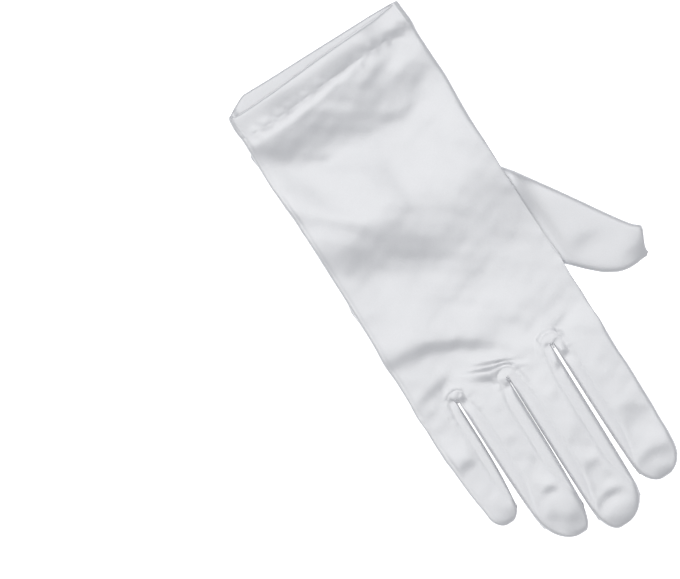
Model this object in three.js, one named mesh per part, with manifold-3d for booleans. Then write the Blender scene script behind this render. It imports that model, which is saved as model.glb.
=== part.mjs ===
import * as THREE from 'three';
import { mergeVertices } from 'three/addons/utils/BufferGeometryUtils.js';
import Module from 'manifold-3d';

// A wrist length satin dress glove for the right hand, lying empty on its palm, in millimetres.
// +X is the thumb side, -Y the fingertips and +Z the back of the hand.
// In the functions, across runs along +X from the middle of the hand, along runs from the wrist
// opening towards the fingertips, and height runs up from the surface that the glove lies on.

// Cloth and seams
const cloth = 1;
const hem_cloth = 2;
const seam_gap = 0.3;

// Hand
const palm_length = 155.5;
const hand_thickness = 9;
const fold_height = 1.8;
const hem_width = 10;
const mouth_setback = 6.2;

// Fingers, from the little-finger side
// length runs from the end of the palm to the tip, and lean is how far the tip lies to the thumb side
const fingers = [
  { width: 17.0, tip_width: 13.4, length: 51.8, thickness: 8.4, lean: -0.4 },
  { width: 22.0, tip_width: 18.6, length: 70.9, thickness: 8.2, lean: 1.2 },
  { width: 22.1, tip_width: 19.4, length: 77.6, thickness: 8.2, lean: -0.5 },
  { width: 21.5, tip_width: 19.0, length: 69.7, thickness: 8.2, lean: -0.4 },
];

// Gaps between one finger and the next: its width at the crotch, and how far past the end of the
// palm the crotch lies
const crotches = [
  { name: 'fourchette_ring_little', gap: 0.9, ahead: -3.5 },
  { name: 'fourchette_middle_ring', gap: 0.7, ahead: 0.5 },
  { name: 'fourchette_index_middle', gap: 0.9, ahead: -0.5 },
];

// Thumb, folded under the palm
const thumb_length = 101;
const thumb_width = 30;
const thumb_thickness = 6.4;
const thumb_angle = THREE.MathUtils.degToRad(40.7);
const thumb_hole_length = 30;
const thumb_hole_width = 20;

// Where the thumb starts, as shares of the hand's half width and of the palm's length, and where
// the middle of its hole lies, as a share of the thumb's length
const thumb_start = { across: 0.187, along: 0.43 };
const thumb_hole_place = 0.22;

// Shares that shape the sections
const seam_turn = { back: THREE.MathUtils.degToRad(44), palm: THREE.MathUtils.degToRad(37) };
const finger_middle = 0.42;
const finger_crown = 0.85;
const flat_part = { hand: 0.45, finger: 0.7, thumb: 0.6 };
const tip_round = 0.68;
const tip_end = 0.3;
const tip_close = 0.85;
const fold_ridge = 1.1;
const back_lift = 0.7;
const back_flatness = 3;
const root_blend = 0.2;

// Half width and thickness of the hand, from the opening to the crotches, as shares of their sizes
const hand_sections = [
  { along: 0.0, width: 0.995, thickness: 0.96 },
  { along: 0.08, width: 1.015, thickness: 0.94 },
  { along: 0.14, width: 1.0, thickness: 1.02 },
  { along: 0.24, width: 1.012, thickness: 0.96 },
  { along: 0.36, width: 0.985, thickness: 1.04 },
  { along: 0.6, width: 0.982, thickness: 1.0 },
  { along: 0.8, width: 0.992, thickness: 1.0 },
  { along: 1.0, width: 1.0, thickness: 0.9 },
];

// How far the opening's edge is set back, as shares of mouth_setback
const mouth_edge = [
  { across: -1.0, back: 0.79, palm: 0.79 },
  { across: -0.93, back: 0.95, palm: 0.47 },
  { across: -0.77, back: 0.94, palm: -0.04 },
  { across: -0.47, back: 0.87, palm: 0.0 },
  { across: 0.0, back: 0.63, palm: 0.0 },
  { across: 0.71, back: 0.4, palm: 0.02 },
  { across: 0.9, back: 0.24, palm: 0.06 },
  { across: 1.0, back: 0.12, palm: 0.12 },
];

// Folds pressed into the back: points as shares of the hand's half width and of the palm's length,
// half width and depth as shares of the hand's thickness
const folds = [
  { width: 0.7, depth: 0.15, line: [[-0.97, 0.18], [-0.5, 0.21], [0.0, 0.26], [0.5, 0.26], [0.95, 0.21]] },
  { width: 1.1, depth: 0.14, line: [[-0.95, 0.54], [-0.6, 0.59], [-0.24, 0.63], [0.12, 0.67], [0.7, 0.69]] },
  { width: 0.6, depth: 0.14, line: [[-0.95, 0.83], [-0.52, 0.85], [-0.2, 0.89], [0.05, 0.93]] },
];

// Thumb sections: half width and height as shares of their sizes
const thumb_sections = [
  { along: 0.0, width: 0.35, height: 0.25 },
  { along: 0.02, width: 0.75, height: 0.7 },
  { along: 0.05, width: 0.98, height: 1.0 },
  { along: 0.18, width: 1.1, height: 1.0 },
  { along: 0.38, width: 1.1, height: 1.0 },
  { along: 0.57, width: 1.0, height: 1.0 },
  { along: 0.68, width: 0.91, height: 1.0 },
  { along: 0.78, width: 0.83, height: 1.0 },
  { along: 0.87, width: 0.75, height: 0.92 },
  { along: 0.94, width: 0.66, height: 0.75 },
  { along: 0.98, width: 0.52, height: 0.5 },
  { along: 1.0, width: 0.35, height: 0.2 },
];

// Fineness of the meshes
const palm_rows = { back: 20, palm: 18 };
const finger_rows = 8;
const tip_turns = [25, 48, 70, 90].map(THREE.MathUtils.degToRad);
const seam_shares = [1, 1, 1, 1, 1, 1, 0.92, 0.8, 0.62, 0.36, 0, 0, 0];
const last_strip_row = 9;
const strip_end = 0.7;
const strip_steps = 5;
const lane_steps = { edge: 7, middle: 4 };
const crotch_steps = 4;
const hem_rows = 3;
const hem_steps = 48;
const thumb_steps = 18;

const lerp = THREE.MathUtils.lerp;
const smooth = (x) => THREE.MathUtils.smoothstep(x, 0, 1);
const sum = (list) => list.reduce((total, value) => total + value, 0);

// Value of a table's column between its rows
function read_table(table, key, place, column) {
  let row = 1;
  while (row < table.length - 1 && table[row][key] < place) row += 1;
  const low = table[row - 1];
  const high = table[row];
  const share = THREE.MathUtils.clamp((place - low[key]) / (high[key] - low[key]), 0, 1);
  return lerp(low[column], high[column], share);
}

// Places of the fingers and gaps across the hand
const hand_half = (sum(fingers.map((finger) => finger.width)) + sum(crotches.map((one) => one.gap))) / 2;
let edge = -hand_half;
fingers.forEach((finger, number) => {
  finger.centre = edge + finger.width / 2;
  edge += finger.width;
  if (number < crotches.length) {
    crotches[number].centre = edge + crotches[number].gap / 2;
    edge += crotches[number].gap;
  }
});

// Height of the palm cloth over the thumb that lies under it
const thumb_axis = new THREE.Vector2(Math.sin(thumb_angle), Math.cos(thumb_angle));
const thumb_side = new THREE.Vector2(-thumb_axis.y, thumb_axis.x);
const thumb_origin = new THREE.Vector2(thumb_start.across * hand_half, thumb_start.along * palm_length);
const thumb_clearance = thumb_width / 8;
const lift_reach = thumb_width * 0.6;
const widest_share = 0.2;

function thumb_lift(across, along) {
  const place = new THREE.Vector2(across, along).sub(thumb_origin);
  const reach = place.dot(thumb_axis);
  const share = THREE.MathUtils.clamp(reach / thumb_length, widest_share, 1);
  const half = (read_table(thumb_sections, 'along', share, 'width') * thumb_width) / 2;
  const nearest = THREE.MathUtils.clamp(reach, half, thumb_length - half);
  const away = Math.hypot(reach - nearest, place.dot(thumb_side)) - half - thumb_clearance;
  return (thumb_thickness + seam_gap) * (1 - smooth(away / lift_reach));
}

// Height that the folds add to the back
function fold_relief(across, along) {
  const place = new THREE.Vector2(across, along);
  let height = 0;
  for (const fold of folds) {
    const line = fold.line.map(([x, y]) => new THREE.Vector2(x * hand_half, y * palm_length));
    let nearest = Infinity;
    for (let i = 1; i < line.length; i += 1) {
      const run = line[i].clone().sub(line[i - 1]);
      const share = THREE.MathUtils.clamp(place.clone().sub(line[i - 1]).dot(run) / run.lengthSq(), 0, 1);
      nearest = Math.min(nearest, place.distanceTo(line[i - 1].clone().addScaledVector(run, share)));
    }
    const far = (nearest / (fold.width * hand_thickness)) ** 2;
    height -= fold.depth * hand_thickness * (1 - fold_ridge * far) * Math.exp(-far);
  }
  return height;
}

// Rounded edge that turns into a flat: rise is the height over the fold, as a share of the half width
function flat_rise(rise, flat) {
  return Math.sin(Math.min(1, rise / flat) * (Math.PI / 2));
}

// Height of the hand's cloth at a share of its half width, on the back or the palm side
function hand_height(share, along, side, inset) {
  const rise = Math.sqrt(Math.max(0, 1 - share * share));
  const full_rise = Math.pow(Math.max(0, 1 - Math.abs(share) ** back_flatness), 1 / back_flatness);
  const across = share * hand_half;
  const lift = thumb_lift(across, along);
  const half_gap = seam_gap / 2;
  if (side === 'palm') {
    return lift + fold_height - half_gap
      - (fold_height - half_gap - inset) * flat_rise(rise, flat_part.hand);
  }
  const full = hand_thickness * read_table(hand_sections, 'along', along / palm_length, 'thickness');
  const crown = (full - fold_height - half_gap - inset) * full_rise;
  return lift * lerp(1, back_lift, full_rise) + fold_height + half_gap + crown
    + fold_relief(across, along) * full_rise;
}

function hand_width_at(along) {
  return hand_half * read_table(hand_sections, 'along', along / palm_length, 'width');
}

// How far along the opening's edge lies at a share of the hand's half width
function mouth_line(share, side) {
  return mouth_setback * read_table(mouth_edge, 'across', share, side);
}

// Sizes of a finger's section at one row, of the cloth's outer face or of a face set in from it
function finger_row(finger, row, inset, crotch_along) {
  const tip = finger.tip_width * tip_round;
  const tip_start = palm_length + finger.length - tip;
  const share = Math.min(1, row / finger_rows);
  const turn = row > finger_rows ? tip_turns[row - finger_rows - 1] : 0;
  const close = Math.pow(Math.max(0, Math.cos(turn)), tip_close);
  const narrow = lerp(tip_end, 1, close);
  const middle = finger.thickness * finger_middle;
  return {
    along: lerp(crotch_along, tip_start, share) + (tip - inset) * Math.sin(turn),
    centre: finger.centre + finger.lean * share,
    half: (lerp(finger.width, finger.tip_width, share * share) / 2 - inset) * narrow,
    middle,
    up: (finger.thickness - middle - inset) * close,
    down: (middle - inset) * close,
  };
}

// Height on a finger's section at an angle from its side, 0 at the side and a quarter turn on top
function section_height(size, angle, side, half_gap) {
  const rise = Math.max(0, Math.sin(angle));
  if (side === 'palm') {
    return size.middle - half_gap - Math.max(0, size.down - half_gap) * flat_rise(rise, flat_part.finger);
  }
  return size.middle + half_gap + Math.max(0, size.up - half_gap) * Math.pow(rise, finger_crown);
}

// Angle that half a seam's gap takes up on a section
function gap_turn(size, angle) {
  const reach = Math.hypot(size.half * Math.sin(angle), size.up * Math.cos(angle));
  return seam_gap / 2 / Math.max(reach, 1);
}

// Closed solid from a lattice of faces: place gives the outer and inner point of each lattice node
function cloth_solid(cells, place, columns_round = Infinity) {
  const numbers = new Map();
  const outer = [];
  const inner = [];
  const node = (column, row) => {
    const key = `${column % columns_round} ${row}`;
    if (!numbers.has(key)) {
      const pair = place(column % columns_round, row);
      numbers.set(key, outer.length);
      outer.push(pair.outer);
      inner.push(pair.inner);
    }
    return numbers.get(key);
  };
  const quads = cells.map(([column, row]) => [
    node(column, row), node(column + 1, row), node(column + 1, row + 1), node(column, row + 1),
  ]);
  const edges = new Map();
  for (const quad of quads) {
    quad.forEach((from, i) => edges.set(`${from} ${quad[(i + 1) % 4]}`, [from, quad[(i + 1) % 4]]));
  }
  const triangles = [];
  const shift = outer.length;
  for (const [a, b, c, d] of quads) {
    triangles.push([a, b, c], [a, c, d]);
    triangles.push([c + shift, b + shift, a + shift], [d + shift, c + shift, a + shift]);
  }
  for (const [from, to] of edges.values()) {
    if (!edges.has(`${to} ${from}`)) {
      triangles.push([to, from, from + shift], [to, from + shift, to + shift]);
    }
  }
  return solid_geometry(outer.concat(inner), triangles);
}

// Geometry of a closed body with its faces turned outwards
function solid_geometry(points, triangles) {
  const volume = sum(triangles.map(([a, b, c]) => points[a].dot(points[b].clone().cross(points[c]))));
  const turned = volume < 0 ? triangles.map(([a, b, c]) => [c, b, a]) : triangles;
  const geometry = new THREE.BufferGeometry();
  geometry.setAttribute('position', new THREE.Float32BufferAttribute(points.flatMap((p) => p.toArray()), 3));
  geometry.setIndex(turned.flat());
  geometry.computeVertexNormals();
  return geometry;
}

const point = (across, along, height) => new THREE.Vector3(across, -along, height);

// Columns of the back and palm panels: the lanes of the four fingers, with the crotches between them
const columns = [];
const lanes = [];
fingers.forEach((finger, number) => {
  const is_edge = number === 0 || number === fingers.length - 1;
  const steps = is_edge ? lane_steps.edge : lane_steps.middle;
  const first = columns.length;
  for (let step = 0; step <= steps; step += 1) columns.push({ finger: number, share: step / steps });
  lanes.push({ first, last: columns.length - 1 });
  if (number < crotches.length) {
    for (let step = 1; step < crotch_steps; step += 1) {
      columns.push({ crotch: number, turn: (Math.PI * step) / crotch_steps });
    }
  }
});

// How far along a finger starts at a share of its width
function root_along(number, share) {
  const low = crotches[Math.max(0, number - 1)];
  const high = crotches[Math.min(crotches.length - 1, number)];
  return palm_length + lerp(low.ahead, high.ahead, share);
}

// Point of a panel on a finger
function finger_point(number, share, row, side, inset) {
  const size = finger_row(fingers[number], row, inset, root_along(number, share));
  const seam = seam_turn[side] * seam_shares[row];
  const start = number === 0 ? 0 : seam + gap_turn(size, seam);
  const end = number === fingers.length - 1 ? 0 : seam + gap_turn(size, seam);
  const angle = lerp(Math.PI - start, end, share);
  const across = size.centre + size.half * Math.cos(angle);
  return point(across, size.along, section_height(size, angle, side, seam_gap / 2));
}

// Section of a crotch, between the sections of the two fingers beside it
function crotch_size(number, turn, inset) {
  const share = turn / Math.PI;
  const low = finger_row(fingers[number], 0, inset, 0);
  const high = finger_row(fingers[number + 1], 0, inset, 0);
  const blended = { along: palm_length + crotches[number].ahead };
  for (const key of ['half', 'middle', 'up', 'down']) blended[key] = lerp(low[key], high[key], share);
  return blended;
}

function crotch_place(number, turn, size, angle, inset, height) {
  const reach = crotches[number].gap / 2 + inset + size.half * (1 - Math.cos(angle));
  return point(crotches[number].centre - reach * Math.cos(turn), size.along - reach * Math.sin(turn), height);
}

function crotch_point(number, turn, side, inset) {
  const size = crotch_size(number, turn, inset);
  const angle = seam_turn[side] + gap_turn(size, seam_turn[side]);
  return crotch_place(number, turn, size, angle, inset, section_height(size, angle, side, seam_gap / 2));
}

// Back or palm panel
function panel(side) {
  const rows = palm_rows[side];
  const root = (column, inset) => {
    const at = columns[column];
    if (at.crotch !== undefined) return crotch_point(at.crotch, at.turn, side, inset);
    return finger_point(at.finger, at.share, 0, side, inset);
  };
  const place = (column, row) => {
    const at = columns[column];
    if (row > rows) {
      return {
        outer: finger_point(at.finger, at.share, row - rows, side, 0),
        inner: finger_point(at.finger, at.share, row - rows, side, cloth),
      };
    }
    const root_outer = root(column, 0);
    const root_inner = root(column, cloth);
    const share = THREE.MathUtils.clamp(root_outer.x / hand_half, -1, 1);
    const start = mouth_line(share, side) + hem_width + seam_gap / 2;
    const along = lerp(start, -root_outer.y, row / rows);
    const half = hand_width_at(along);
    const mix = smooth((row / rows - 1 + root_blend) / root_blend);
    const height = hand_height(share, along, side, 0);
    const inner_height = hand_height(share, along, side, cloth);
    const outer = point(share * half, along, lerp(height, root_outer.z, mix));
    const plain = new THREE.Vector3(-share * cloth, 0, inner_height - height);
    const inner = outer.clone().add(plain.lerp(root_inner.sub(root_outer), mix));
    return { outer, inner };
  };
  const cells = [];
  for (let row = 0; row < rows; row += 1) {
    for (let column = 0; column < columns.length - 1; column += 1) cells.push([column, row]);
  }
  for (const lane of lanes) {
    for (let row = rows; row < rows + finger_rows + tip_turns.length; row += 1) {
      for (let column = lane.first; column < lane.last; column += 1) cells.push([column, row]);
    }
  }
  return cloth_solid(cells, place);
}

// Strip between two fingers: it runs down the inner side of one, round the crotch and up the next
function fourchette(number) {
  const stations = [{ finger: number, row: last_strip_row, end: true }];
  for (let row = last_strip_row; row >= 0; row -= 1) stations.push({ finger: number, row });
  for (let step = 1; step < crotch_steps; step += 1) stations.push({ turn: (Math.PI * step) / crotch_steps });
  for (let row = 0; row <= last_strip_row; row += 1) stations.push({ finger: number + 1, row });
  stations.push({ finger: number + 1, row: last_strip_row, end: true });

  const strip_angle = (size, step, row) => {
    const top = seam_turn.back * seam_shares[row];
    const bottom = seam_turn.palm * seam_shares[row];
    return lerp(top - gap_turn(size, top), -bottom + gap_turn(size, bottom), step / strip_steps);
  };
  const strip_height = (size, angle) => section_height(size, Math.abs(angle), angle < 0 ? 'palm' : 'back', 0);
  const on_finger = (station, row, step, inset) => {
    const size = finger_row(fingers[station.finger], row, inset, palm_length + crotches[number].ahead);
    const angle = strip_angle(size, step, row);
    const towards = station.finger === number ? 1 : -1;
    return point(size.centre + towards * size.half * Math.cos(angle), size.along, strip_height(size, angle));
  };
  const at = (station, step, inset) => {
    if (station.turn === undefined && !station.end) return on_finger(station, station.row, step, inset);
    if (station.end) {
      const tip = on_finger(station, station.row + 1, strip_steps / 2, inset);
      return on_finger(station, station.row, step, inset).lerp(tip, strip_end);
    }
    const size = crotch_size(number, station.turn, inset);
    const angle = strip_angle(size, step, 0);
    return crotch_place(number, station.turn, size, angle, inset, strip_height(size, angle));
  };
  const cells = [];
  for (let station = 0; station < stations.length - 1; station += 1) {
    for (let step = 0; step < strip_steps; step += 1) cells.push([station, step]);
  }
  return cloth_solid(cells, (station, step) => ({
    outer: at(stations[station], step, 0),
    inner: at(stations[station], step, cloth),
  }));
}

// Turned hem round the wrist opening
function cuff_hem() {
  const place = (column, row) => {
    const angle = (Math.PI * 2 * column) / hem_steps;
    const side = column < hem_steps / 2 ? 'back' : 'palm';
    const share = Math.cos(angle);
    const along = mouth_line(share, side) + (hem_width - seam_gap / 2) * (row / hem_rows);
    const at = (inset) => {
      const height = column % (hem_steps / 2) === 0
        ? fold_height
        : hand_height(share, along, side, inset);
      return point(share * (hand_width_at(along) - inset), along, height);
    };
    return { outer: at(0), inner: at(hem_cloth) };
  };
  const cells = [];
  for (let row = 0; row < hem_rows; row += 1) {
    for (let column = 0; column < hem_steps; column += 1) cells.push([column, row]);
  }
  return cloth_solid(cells, place, hem_steps);
}

// Closed body of the thumb's outer face, or of a face set in from it
function thumb_body(inset) {
  const points = [];
  const triangles = [];
  const middle = thumb_thickness / 2;
  for (const section of thumb_sections) {
    const reach = lerp(inset, thumb_length - inset, section.along);
    const half = (section.width * thumb_width) / 2 - inset;
    const tall = (middle - inset) * section.height;
    for (let step = 0; step < thumb_steps; step += 1) {
      const angle = (Math.PI * 2 * step) / thumb_steps;
      const rise = Math.sign(Math.sin(angle)) * flat_rise(Math.abs(Math.sin(angle)), flat_part.thumb);
      const plan = thumb_origin.clone().addScaledVector(thumb_axis, reach);
      plan.addScaledVector(thumb_side, half * Math.cos(angle));
      points.push(point(plan.x, plan.y, middle + tall * rise));
    }
  }
  const rings = thumb_sections.length;
  for (let ring = 0; ring < rings - 1; ring += 1) {
    for (let step = 0; step < thumb_steps; step += 1) {
      const next = (step + 1) % thumb_steps;
      const [a, b] = [ring * thumb_steps + step, ring * thumb_steps + next];
      triangles.push([a, b, b + thumb_steps], [a, b + thumb_steps, a + thumb_steps]);
    }
  }
  const last = (rings - 1) * thumb_steps;
  for (let step = 1; step < thumb_steps - 1; step += 1) {
    triangles.push([0, step + 1, step], [last, last + step, last + step + 1]);
  }
  return solid_geometry(points, triangles);
}

// Oval body that opens the palm into the thumb
function hole_body() {
  const oval = new THREE.Shape();
  oval.absellipse(0, 0, thumb_hole_width / 2, thumb_hole_length / 2, 0, Math.PI * 2);
  const depth = thumb_thickness / 2 + cloth * 3 + seam_gap;
  const geometry = new THREE.ExtrudeGeometry(oval, { depth, bevelEnabled: false, curveSegments: 20 });
  const place = thumb_origin.clone().addScaledVector(thumb_axis, thumb_hole_place * thumb_length);
  geometry.rotateZ(thumb_angle);
  geometry.translate(place.x, -place.y, thumb_thickness / 2);
  return geometry;
}

const wasm = await Module();
wasm.setup();

function to_solid(geometry) {
  const plain = geometry.clone();
  plain.deleteAttribute('normal');
  plain.deleteAttribute('uv');
  const merged = mergeVertices(plain, 1e-4);
  return new wasm.Manifold(new wasm.Mesh({
    numProp: 3,
    vertProperties: new Float32Array(merged.attributes.position.array),
    triVerts: new Uint32Array(merged.index.array),
  }));
}

function to_geometry(solid) {
  const mesh = solid.getMesh();
  const geometry = new THREE.BufferGeometry();
  geometry.setAttribute('position', new THREE.Float32BufferAttribute(mesh.vertProperties, 3));
  geometry.setIndex(Array.from(mesh.triVerts));
  geometry.computeVertexNormals();
  return geometry;
}

const hole = to_solid(hole_body());
const palm_geometry = to_geometry(to_solid(panel('palm')).subtract(hole));
const thumb_geometry = to_geometry(to_solid(thumb_body(0)).subtract(to_solid(thumb_body(cloth))).subtract(hole));

// White satin, a little duller where it is turned double
const satin = { color: 0xe4e6e9, roughness: 0.38, metalness: 0 };
const hem_satin = { color: 0xdfe1e5, roughness: 0.45, metalness: 0 };

function piece(name, geometry, look) {
  const mesh = new THREE.Mesh(geometry, new THREE.MeshStandardMaterial(look));
  mesh.name = name;
  return mesh;
}

const glove = new THREE.Group();
glove.add(piece('back_panel', panel('back'), satin));
glove.add(piece('palm_panel', palm_geometry, satin));
crotches.forEach((crotch, number) => glove.add(piece(crotch.name, fourchette(number), satin)));
glove.add(piece('thumb', thumb_geometry, satin));
glove.add(piece('cuff_hem', cuff_hem(), hem_satin));

// The origin is the middle of the underside of the glove's box
const box = new THREE.Box3().setFromObject(glove);
const middle = box.getCenter(new THREE.Vector3());
glove.position.set(-middle.x, -middle.y, -box.min.z);

export default glove;
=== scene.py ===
import functools
import math

import bpy
import numpy as np
from mathutils import Matrix, Vector


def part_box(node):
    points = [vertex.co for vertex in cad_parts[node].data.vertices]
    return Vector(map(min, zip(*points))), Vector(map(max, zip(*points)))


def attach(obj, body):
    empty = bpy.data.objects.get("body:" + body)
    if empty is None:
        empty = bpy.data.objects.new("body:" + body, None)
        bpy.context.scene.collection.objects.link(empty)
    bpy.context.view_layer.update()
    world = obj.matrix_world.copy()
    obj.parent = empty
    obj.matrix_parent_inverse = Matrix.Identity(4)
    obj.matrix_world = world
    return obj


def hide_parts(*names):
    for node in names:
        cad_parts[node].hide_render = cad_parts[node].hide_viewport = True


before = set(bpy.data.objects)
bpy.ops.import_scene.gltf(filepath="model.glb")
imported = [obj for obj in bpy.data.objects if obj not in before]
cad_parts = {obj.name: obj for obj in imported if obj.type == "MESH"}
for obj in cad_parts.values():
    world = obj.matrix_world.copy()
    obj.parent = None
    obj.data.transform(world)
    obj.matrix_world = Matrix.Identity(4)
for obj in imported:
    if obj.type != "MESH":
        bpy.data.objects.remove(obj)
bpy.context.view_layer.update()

# A right-hand satin dress glove, lying back up with its thumb folded under the palm.
# Cloth sizes are in millimetres: across runs towards the thumb side from the middle of the hand,
# along runs from the wrist opening to the fingertips, and height is over the surface below.
# place_points turns them into the frame's metres.

MM = 0.001

# Cloth, and what its seams take in
SATIN_THICKNESS = 0.6
SEAM_DEPTH = 0.14
SEAM_WIDTH = 0.8
ALLOWANCE = 1.6
SIDE_SEAM = 1.6
SIDE_SEAM_DEPTH = 0.12
SIDE_SEAM_WIDTH = 0.5
CROTCH_PUCKER = 0.07
FINGER_PUCKER = 0.012
FLOOR_GAP = 0.03

# Hand, and the hem round its opening
PALM_LENGTH = 155.5
HAND_THICKNESS = 8.1
FOLD_HEIGHT = 1.7
HEM_WIDTH = 10.0
HEM_THICKNESS = 0.7
HEM_GROOVE = 0.03
HEM_GROOVE_WIDTH = 0.55
HEM_PUCKER = 0.06
STITCH_LENGTH = 2.3
MOUTH_SETBACK = 6.2

# Fingers as they lie, from the little-finger side. Length runs from the end of the palm to the tip,
# round is how long the tip's curve is, lean is how far the tip lies to the thumb side, and skew is
# how far its end does, as a share of half its width.
FINGER_COLUMNS = ("width", "tip_width", "length", "round", "thickness", "lean", "skew")
FINGERS = tuple(dict(zip(FINGER_COLUMNS, row)) for row in (
    (17.0, 13.0, 51.5, 8.0, 7.6, 0.6, 0.0),
    (22.0, 20.4, 70.7, 18.0, 8.2, -0.1, 0.42),
    (22.1, 21.4, 77.2, 13.0, 8.2, -0.4, -0.28),
    (21.5, 20.0, 69.3, 12.0, 8.2, -0.1, -0.08),
))

# Crotches between them: the gap, how far past the palm's end the seam's arc centre lies, and how
# far the strip's belly reaches past that centre
CROTCHES = (
    {"gap": 0.9, "ahead": -2.8, "belly": 2.2},
    {"gap": 0.3, "ahead": 0.4, "belly": 2.8},
    {"gap": 1.1, "ahead": -1.4, "belly": 2.8},
)

# Thumb, folded under the palm. It starts at a share of the hand's half width and of the palm's length.
THUMB_LENGTH = 101.0
THUMB_WIDTH = 30.0
THUMB_THICKNESS = 5.6
THUMB_ANGLE = math.radians(40.7)
THUMB_START = (0.187, 0.43)
THUMB_BASE_END = 0.08
THUMB_TIP_START = 0.9
THUMB_TIP = 0.1

# What the palm's cloth keeps clear of the thumb, over it and beside it, and how far it sinks past it
THUMB_CLEARANCE = 0.2
THUMB_MARGIN = 3.0
THUMB_LIFT_REACH = 18.0

# Angle from a finger's side to its seams, and how far the back's seam spreads past the crotch
SEAM_TURN = {"back": math.radians(50), "palm": math.radians(37)}
SEAM_SPREAD = math.radians(9)

# Powers of the sections' curves: the higher, the flatter the cloth and the tighter its edge
FINGER_FLATNESS = 13.0
CROTCH_FLATNESS = 30.0
BACK_FLATNESS = 20.0
THUMB_FLATNESS = 8.0

# Shares and powers that shape the hand and the fingers
HAND_FLAT_PART = 0.4
FINGER_FLAT_PART = 0.7
FINGER_MIDDLE = 0.42
FINGER_SWELL = 0.08
FINGER_TAPER = 3.2
CROTCH_SHARE = 0.15
TIP_END = 0.1
TIP_CLOSE = 0.13
HAND_SEAM_FADE = 3.0
FINGER_SEAM_FADE = 3.6
ROOT_REACH = 17.0
ROOT_EASE = 1.4

# Along a finger's rows: where its seams spread to their full turn, where they close and where the
# folds of its cloth end, the last two as (start, length). And how the seams are tucked in.
SPREAD_END = 0.22
SEAM_CLOSE = (0.72, 0.62)
RELIEF_END = (1.55, 0.4)
SIDE_SEAM_END = 12
LEAST_TURN = 0.05
TUCK_EASE = 2.5
OUTLINE_EDGE = 30

# Half width and thickness of the hand as shares of their sizes, against the share of its length
HAND_SECTIONS = (
    (0.0, 0.992, 0.95), (0.035, 1.0, 0.97), (0.07, 1.012, 0.97), (0.1, 0.996, 0.98), (0.16, 1.0, 0.99),
    (0.24, 1.008, 1.0), (0.36, 0.985, 1.05), (0.48, 0.982, 1.04), (0.6, 0.982, 1.0), (0.74, 0.985, 1.0),
    (0.8, 1.004, 1.0), (0.86, 0.99, 1.0), (1.0, 1.0, 0.96),
)

# How far the opening's edge is set back on the back and on the palm, as shares of MOUTH_SETBACK
MOUTH_EDGE = (
    (-1.0, 0.79, 0.79), (-0.93, 0.95, 0.47), (-0.77, 0.94, -0.04), (-0.47, 0.87, 0.0), (0.0, 0.63, 0.0),
    (0.71, 0.4, 0.02), (0.9, 0.24, 0.06), (1.0, 0.12, 0.12),
)

# Half widths of the thumb on its inner and outer side and its height, as shares of their sizes
THUMB_SECTIONS = (
    (0.0, 0.3, 0.3, 0.3), (0.02, 0.72, 0.75, 0.7), (0.05, 0.95, 0.98, 1.0), (0.18, 1.08, 1.12, 1.0),
    (0.38, 1.05, 1.08, 1.0), (0.57, 0.99, 0.92, 1.0), (0.68, 0.96, 0.82, 1.0), (0.78, 0.93, 0.72, 1.0),
    (0.85, 0.88, 0.66, 1.0), (0.9, 0.77, 0.63, 1.0), (0.925, 0.68, 0.65, 0.98), (0.947, 0.56, 0.7, 0.95),
    (0.96, 0.46, 0.47, 0.9), (0.975, 0.34, 0.22, 0.8), (0.99, 0.16, 0.04, 0.6), (1.0, 0.04, 0.02, 0.4),
)

# Small slopes that dim the thumb: (across, along, half length, half width, drop)
THUMB_SLOPES = (
    (43, 98, 4.2, 14, 2.5), (54, 124.5, 7, 4, 0.45), (50, 86, 5, 6, 0.3), (69, 139.5, 5, 3, 0.25),
)

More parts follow.
